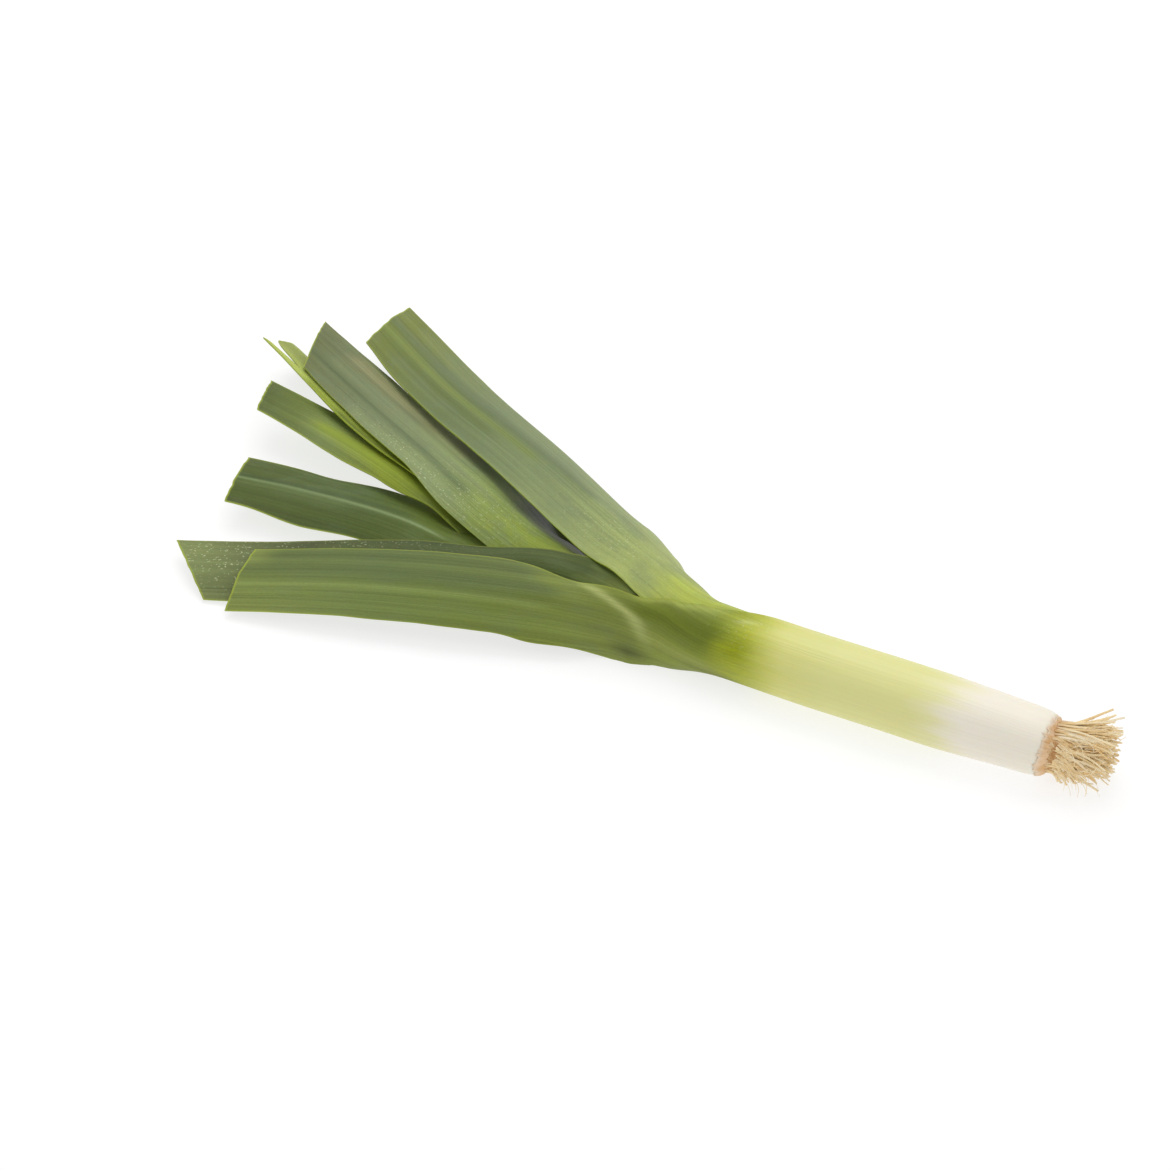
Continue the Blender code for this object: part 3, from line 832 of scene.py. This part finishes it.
make_leaf(dict(
    name="leaf_7_middle", piece="middle_leaf", layer=6, notch=0.282, lift=0.294,
    cut=((-1, -0.003), (1, 0.0075)),
    route=(
        (0.312, 0.0245, 0.0205), (0.333, 0.0325, 0.0222), (0.361, 0.043, 0.0228),
        (0.394, 0.0535, 0.0225), (0.437, 0.0632, 0.0225),
    ),
    clock=((0.282, 90), (0.434, 90)),
    half=((0.288, 0.014), (0.304, 0.0078), (0.340, 0.0118), (0.380, 0.0128), (0.434, 0.0110)),
    roll=((0.288, 1), (0.312, 0.20), (0.434, 0.03)),
    fold=((0.290, 0), (0.340, 7), (0.400, 6), (0.434, 3)),
    lean=((0.300, 0.10), (0.322, 0.45), (0.350, 0.15), (0.380, 0)),
    wax=0.15, margin=0.35,
    tones=(
        (0.30, shade(88, 104, 24)), (0.36, shade(140, 155, 40)), (0.40, shade(130, 145, 82)),
        (0.42, shade(108, 122, 56)), (0.44, shade(92, 105, 47)),
    ),
    stripes=(
        (-0.15, 0.30, 0.31, 0.410, 0.8, shade(141, 158, 44)),
        (0.75, 0.25, 0.33, 0.44, 0.5, shade(106, 122, 50)),
        (-0.80, 0.20, 0.36, 0.44, 0.4, shade(97, 114, 60)),
    ),
))


# Sixth leaf, on the far side: its blade lies under the fourth, turned on edge, so that a thin bright strip
# of it shows past that leaf and its own cut end stands out above it. Same skin and thickness as the others.
make_leaf(dict(
    name="leaf_6_far", piece="sixth_leaf", layer=5, notch=0.258, lift=0.274,
    cut=(
        (-1, -0.0045), (-0.90, -0.0090), (-0.78, -0.0420), (-0.66, -0.0150), (-0.55, -0.0080), (0.4, -0.0080),
        (1, 0.0040),
    ),
    route=((0.330, 0.0475, 0.0204), (0.380, 0.070, 0.0215), (0.460, 0.119, 0.0150)),
    clock=((0.258, 180), (0.290, 150), (0.330, 130), (0.455, 132)),
    half=((0.268, 0.017), (0.300, 0.012), (0.380, 0.017), (0.455, 0.016)),
    roll=((0.268, 1), (0.330, 0.24), (0.455, 0.12)),
    fold=((0.270, 0), (0.340, 10), (0.455, 8)),
    wax=0.1, margin=0.6,
    tones=((0.27, shade(128, 144, 44)), (0.36, shade(150, 166, 60)), (0.46, shade(160, 173, 81))),
    stripes=(
        # The next three stripes are painted light: painted shade in the crotch, brightening to painted light
        # shining through the strip.
        (-0.95, 0.14, 0.30, 0.405, 0.9, shade(100, 114, 24)),
        (-0.95, 0.14, 0.405, 0.435, 0.9, shade(146, 162, 52)),
        (-0.95, 0.14, 0.435, 0.490, 0.9, shade(188, 203, 100)),
        (-0.30, 0.30, 0.38, 0.49, 0.6, shade(131, 141, 62)),
    ),
))


# Fifth leaf, on the near side: a broad low blade with a marked keel, its near half falling like a roof.
# The upper half is deep green, a light line runs down the keel, and the margin is thin and yellow-green.
make_leaf(dict(
    name="leaf_5_near", piece="fifth_leaf", layer=4, notch=0.234, lift=0.250, cut=((-1, -0.001), (1, 0.001)),
    route=((0.295, 0.0068, 0.0160), (0.333, 0.0120, 0.0178), (0.386, 0.009, 0.0185), (0.421, 0.0057, 0.0173)),
    clock=((0.234, 0), (0.262, 15), (0.320, 84), (0.417, 84)),
    half=(
        (0.244, 0.021), (0.270, 0.0133), (0.310, 0.0180), (0.345, 0.0203), (0.376, 0.0189), (0.417, 0.016),
    ),
    roll=((0.244, 1), (0.320, 0.17), (0.345, 0.168), (0.372, 0.135), (0.418, 0.05)),
    curl=((0.260, 0), (0.310, -0.5), (0.345, -0.3), (0.380, 0)),
    fold=((0.250, 0), (0.320, 14), (0.380, 12), (0.418, 5)),
    lean=((0.245, 0), (0.275, 0.04), (0.310, 0.33), (0.345, 0.17), (0.384, 0)),
    wax=0.22, margin=0.55,
    tones=(
        (0.26, shade(98, 114, 34)), (0.32, shade(90, 107, 39)), (0.36, shade(85, 102, 54)),
        (0.42, shade(80, 94, 36)),
    ),
    stripes=(
        (0.00, 0.06, 0.31, 0.43, 0.9, shade(126, 144, 94)),
        (0.14, 0.10, 0.33, 0.43, 0.5, shade(61, 77, 42)),
        (-0.45, 0.30, 0.33, 0.43, 0.6, shade(82, 98, 37)),
        (-0.18, 0.12, 0.36, 0.43, 0.5, shade(106, 122, 69)),
    ),
))


# Fourth leaf, on the far side: a long flat greyish blade, heavily waxed, pinkish brown near its end.
# Its left margin is freckled with white where the wax was rubbed and thrips fed. Its other side falls to
# the table under the second leaf, and the near-black green of that leaf's shade is painted onto it.
make_leaf(dict(
    name="leaf_4_far", piece="fourth_leaf", layer=3, notch=0.208, lift=0.228, cut=((-1, -0.018), (1, 0.018)),
    route=(
        (0.267, 0.025, 0.0256), (0.306, 0.0415, 0.0280), (0.367, 0.072, 0.0283), (0.4375, 0.1118, 0.0253),
    ),
    clock=((0.208, 165), (0.230, 135), (0.265, 114), (0.320, 104), (0.432, 99)),
    half=(
        (0.218, 0.026), (0.238, 0.0310), (0.252, 0.0330), (0.268, 0.0336), (0.286, 0.0322), (0.304, 0.0300),
        (0.340, 0.0262), (0.386, 0.0194), (0.432, 0.0170),
    ),
    roll=((0.214, 1), (0.240, 0.44), (0.285, 0.19), (0.340, 0.08), (0.432, 0.06)),
    curl=((0.212, 0), (0.238, -0.7), (0.310, -0.6), (0.350, 0)),
    fold=((0.235, 0), (0.275, 16), (0.330, 9), (0.432, 7)),
    lean=(
        (0.216, 0), (0.238, 0.25), (0.252, 0.30), (0.268, 0.32), (0.286, 0.292), (0.304, 0.24),
        (0.340, 0.245), (0.386, 0),
    ),
    wax=0.45, margin=0.15,
    tones=(
        (0.23, shade(134, 150, 46)), (0.28, shade(137, 154, 57)), (0.33, shade(137, 152, 98)),
        (0.38, shade(127, 137, 95)), (0.46, shade(106, 113, 68)),
    ),
    stripes=(
        (-0.38, 0.12, 0.31, 0.46, 0.7, shade(90, 104, 69)),
        (-0.10, 0.12, 0.30, 0.44, 0.5, shade(132, 143, 100)),
        (0.28, 0.12, 0.36, 0.46, 0.5, shade(99, 107, 65)),
        (0.55, 0.30, 0.33, 0.44, 0.7, shade(146, 144, 102)),
        (-0.85, 0.20, 0.30, 0.40, 0.5, shade(141, 154, 104)),
        # The last three stripes are painted shade: near-black green where the second leaf shades this side.
        (0.52, 0.48, 0.222, 0.268, 1.0, shade(30, 38, 8)),
        (0.64, 0.40, 0.262, 0.298, 1.0, shade(32, 40, 10)),
        (0.90, 0.36, 0.290, 0.350, 1.0, shade(36, 44, 12)),
    ),
    flecks=((-0.78, 0.22, 0.345, 0.045, 1.0), (-0.20, 0.60, 0.30, 0.03, 0.5)),
))


# Third leaf, on the near side: it lies under the first and shows as a strip beyond that leaf's margin.
# Its end, dark and freckled with white, comes out past the first leaf's cut.
make_leaf(dict(
    name="leaf_3_near", piece="third_leaf", layer=2, notch=0.178, lift=0.200, cut=((-1, -0.010), (1, 0.010)),
    route=(
        (0.244, -0.007, 0.0250), (0.282, -0.016, 0.0225), (0.327, -0.028, 0.0175),
        (0.374, -0.042, 0.0120), (0.412, -0.054, 0.0085),
    ),
    clock=((0.178, 10), (0.200, 15), (0.244, 52), (0.290, 64), (0.412, 76)),
    half=((0.190, 0.030), (0.220, 0.0215), (0.300, 0.0200), (0.412, 0.0175)),
    roll=((0.190, 1), (0.250, 0.36), (0.320, 0.16), (0.412, 0.08)),
    fold=((0.215, 0), (0.270, 8), (0.412, 8)),
    lean=((0.220, 0), (0.245, -0.15), (0.320, 0)),
    wax=0.15, margin=0.3,
    tones=(
        (0.19, shade(150, 164, 80)), (0.23, shade(71, 86, 26)), (0.30, shade(53, 66, 29)),
        (0.36, shade(78, 86, 51)), (0.42, shade(131, 143, 87)),
    ),
    stripes=((0.75, 0.20, 0.24, 0.36, 0.5, shade(95, 110, 57)),),
    flecks=((0.30, 0.80, 0.405, 0.03, 0.9), (0.85, 0.2, 0.36, 0.06, 0.5)),
))


# Second leaf, on the far side: the broadest blade, pale yellow-green where it leaves the shank.
# A light stripe runs left of its keel with a blue-grey band beside it, and its margins are yellow.
make_leaf(dict(
    name="leaf_2_far", piece="second_leaf", layer=1, notch=0.150, lift=0.167, cut=((-1, -0.019), (1, 0.0174)),
    route=(
        (0.208, 0.0295, 0.0300), (0.245, 0.048, 0.0315), (0.292, 0.074, 0.0305),
        (0.354, 0.107, 0.0265), (0.416, 0.150, 0.0205),
    ),
    clock=((0.150, 150), (0.185, 124), (0.235, 109), (0.412, 106)),
    half=(
        (0.165, 0.034), (0.200, 0.0278), (0.260, 0.0258), (0.320, 0.0254), (0.362, 0.0252), (0.412, 0.0215),
    ),
    roll=((0.155, 1), (0.192, 0.50), (0.212, 0.26), (0.235, 0.19), (0.320, 0.12), (0.412, 0.08)),
    fold=((0.180, 0), (0.250, 12), (0.370, 9), (0.412, 5)),
    lean=((0.150, 0), (0.170, 0.10), (0.220, 0), (0.300, 0.01), (0.362, 0.065), (0.412, 0)),
    curl=((0.155, 0), (0.172, -0.16), (0.190, -0.16), (0.205, 0)),
    nicks=((-1, 0.4215, 0.0011, 0.0035),),
    wax=0.35, margin=0.35,
    tones=(
        (0.17, shade(175, 186, 72)), (0.20, shade(164, 176, 97)), (0.24, shade(146, 159, 99)),
        (0.30, shade(124, 138, 92)), (0.36, shade(108, 122, 76)), (0.45, shade(116, 126, 51)),
    ),
    stripes=(
        (-0.20, 0.10, 0.30, 0.46, 0.75, shade(124, 138, 67)),
        (0.08, 0.16, 0.26, 0.46, 0.7, shade(96, 110, 69)),
        (-0.42, 0.10, 0.33, 0.46, 0.5, shade(102, 116, 53)),
        (0.72, 0.25, 0.24, 0.44, 0.4, shade(131, 143, 87)),
        (0.30, 0.20, 0.13, 0.19, 0.6, shade(126, 140, 40)),
        (-0.30, 0.35, 0.15, 0.19, 0.4, shade(175, 188, 79)),
    ),
    flecks=((-0.30, 0.60, 0.225, 0.035, 0.6),),
))


# First leaf, the outermost: its sheath is the skin of the whole shank, and opens at the far side first.
# It crosses over the leaves inside it, folds at the fork, and turns its keel from the near side to the top.
make_leaf(dict(
    name="leaf_1_near", piece="first_leaf", layer=0, notch=0.105, lift=0.184, cut=((-1, 0.002), (1, -0.005)),
    cells=FIRST_ACROSS_CELLS, gloss=SKIN_GLOSS,
    route=(
        (0.216, -0.013, 0.0255), (0.270, -0.026, 0.0265), (0.330, -0.040, 0.0215), (0.386, -0.054, 0.0125),
    ),
    clock=((0.105, 5), (0.160, 6), (0.200, 30), (0.236, 57), (0.386, 74)),
    half=(
        (0.127, 0.036), (0.175, 0.0225), (0.203, 0.0181), (0.226, 0.0163), (0.252, 0.0192),
        (0.300, 0.0190), (0.386, 0.0180),
    ),
    roll=((0.150, 1), (0.205, 0.45), (0.230, 0.34), (0.300, 0.16), (0.386, 0.10)),
    fold=((0.180, 0), (0.240, 10), (0.386, 8)),
    lean=(
        (0.105, 0), (0.127, 0.04), (0.168, -0.01), (0.182, -0.24), (0.200, -0.45), (0.224, -0.36),
        (0.265, -0.04),
    ),
    curl=((0.150, 0), (0.200, 0.10), (0.240, 0)),
    wax=0.2, margin=0.45,
    tones=(
        (0.12, shade(186, 190, 68)), (0.145, shade(176, 183, 49)), (0.165, shade(131, 145, 37)),
        (0.20, shade(123, 135, 57)), (0.26, shade(116, 131, 49)), (0.32, shade(114, 131, 67)),
        (0.39, shade(130, 143, 71)),
    ),
    stripes=(
        # Painted shade: the dark under the fold's ridge, near the sheath.
        (-0.50, 0.22, 0.143, 0.170, 0.8, shade(110, 117, 21)),
        # Painted shade: the dark concave face above the fold's ridge.
        (0.38, 0.36, 0.156, 0.202, 0.95, shade(104, 117, 24)),
        (0.92, 0.10, 0.160, 0.200, 0.7, shade(174, 186, 90)),
        (-0.25, 0.15, 0.158, 0.192, 0.8, shade(148, 157, 73)),
        # Painted highlight: the light band that slants across the leaf along the fold's ridge.
        (-0.22, 0.18, 0.192, 0.226, 0.85, shade(179, 187, 113), 32),
        (-0.65, 0.16, 0.190, 0.206, 0.7, shade(68, 77, 14)),
        (-0.20, 0.09, 0.24, 0.40, 0.7, shade(138, 154, 81)),
        (0.20, 0.28, 0.236, 0.40, 0.7, shade(87, 103, 52)),
        (0.75, 0.36, 0.250, 0.38, 0.6, shade(80, 95, 50)),
        (-0.60, 0.25, 0.22, 0.40, 0.4, shade(132, 150, 77)),
        (0.24, 0.17, 0.140, 0.156, 1.0, shade(150, 160, 4)),
        # The next two stripes are painted highlights: soft whitish spots of lamp light on the sheath.
        (0.62, 0.06, 0.128, 0.130, 0.75, shade(232, 233, 196)),
        (0.72, 0.05, 0.146, 0.147, 0.75, shade(226, 230, 186)),
    ),
    # Painted highlight: pale dots that stand for the soft whitish highlight near the fold.
    flecks=((0.62, 0.30, 0.135, 0.022, 0.5),),
))


# Floor, light and camera: a white table in a white studio, a broad lamp above the far side, and a weaker
# one past the root end. The camera looks down 40 degrees from the near root end, as the photograph does.
CAMERA_ELEVATION = math.radians(40)
CAMERA_AZIMUTH = math.radians(26.4)
CAMERA_DISTANCE = 1.5393
CAMERA_LENS = 100
CAMERA_SENSOR = 36
CAMERA_TARGET = place(0.2418, 0.0255, 0)
FLOOR_SIZE = 4
LAMPS = (  # place, aim, width, power
    ((-0.25, 0.60, 1.35), (0.0, 0.0, 0.0), 1.3, 10.5),
    ((0.70, -0.35, 1.30), (0.1, 0.0, 0.0), 0.9, 2.5),
)
SKY = 0.58
TABLE_GLOW = 0.73
TABLE_DUST = (30, 30, 30)
TABLE_GREY = shade(147, 147, 147)
TABLE_PALE = shade(152, 152, 152)

table = bmesh.new()
bmesh.ops.create_grid(table, x_segments=1, y_segments=1, size=FLOOR_SIZE)
white = Finish("white_table", Specular_IOR_Level=0.1, Emission_Color=(1, 1, 1, 1),
               Emission_Strength=TABLE_GLOW)
dust = white.grain(white.node("TexCoord", {}, out="Object"), TABLE_DUST, detail=3)
white.finished(white.mix(dust, TABLE_GREY, TABLE_PALE), 0.7, dust, 0.00005)
table_mesh = bpy.data.meshes.new("floor")
table.to_mesh(table_mesh)
table.free()
table_mesh.materials.append(white.material)
floor = bpy.data.objects.new("floor", table_mesh)
bpy.context.scene.collection.objects.link(floor)

for number, (stand, aim, width, power) in enumerate(LAMPS):
    lamp = bpy.data.lights.new(f"lamp_{number}", "AREA")
    lamp.shape, lamp.size, lamp.energy = "DISK", width, power
    holder = bpy.data.objects.new(f"lamp_{number}", lamp)
    holder.location = stand
    holder.rotation_euler = (Vector(aim) - Vector(stand)).to_track_quat("-Z", "Y").to_euler()
    bpy.context.scene.collection.objects.link(holder)
world = bpy.data.worlds.new("studio")
world.use_nodes = True
world.node_tree.nodes["Background"].inputs["Color"].default_value = (1, 1, 1, 1)
world.node_tree.nodes["Background"].inputs["Strength"].default_value = SKY
bpy.context.scene.world = world
bpy.context.scene.view_settings.view_transform = "Standard"

gaze = Vector((
    -math.sin(CAMERA_AZIMUTH) * math.cos(CAMERA_ELEVATION),
    math.cos(CAMERA_AZIMUTH) * math.cos(CAMERA_ELEVATION),
    -math.sin(CAMERA_ELEVATION),
))
lens = bpy.data.cameras.new("camera")
lens.lens = CAMERA_LENS
lens.sensor_width = CAMERA_SENSOR
camera = bpy.data.objects.new("camera", lens)
camera.location = CAMERA_TARGET - gaze * CAMERA_DISTANCE
camera.rotation_euler = gaze.to_track_quat("-Z", "Y").to_euler()
bpy.context.scene.collection.objects.link(camera)
bpy.context.scene.camera = camera
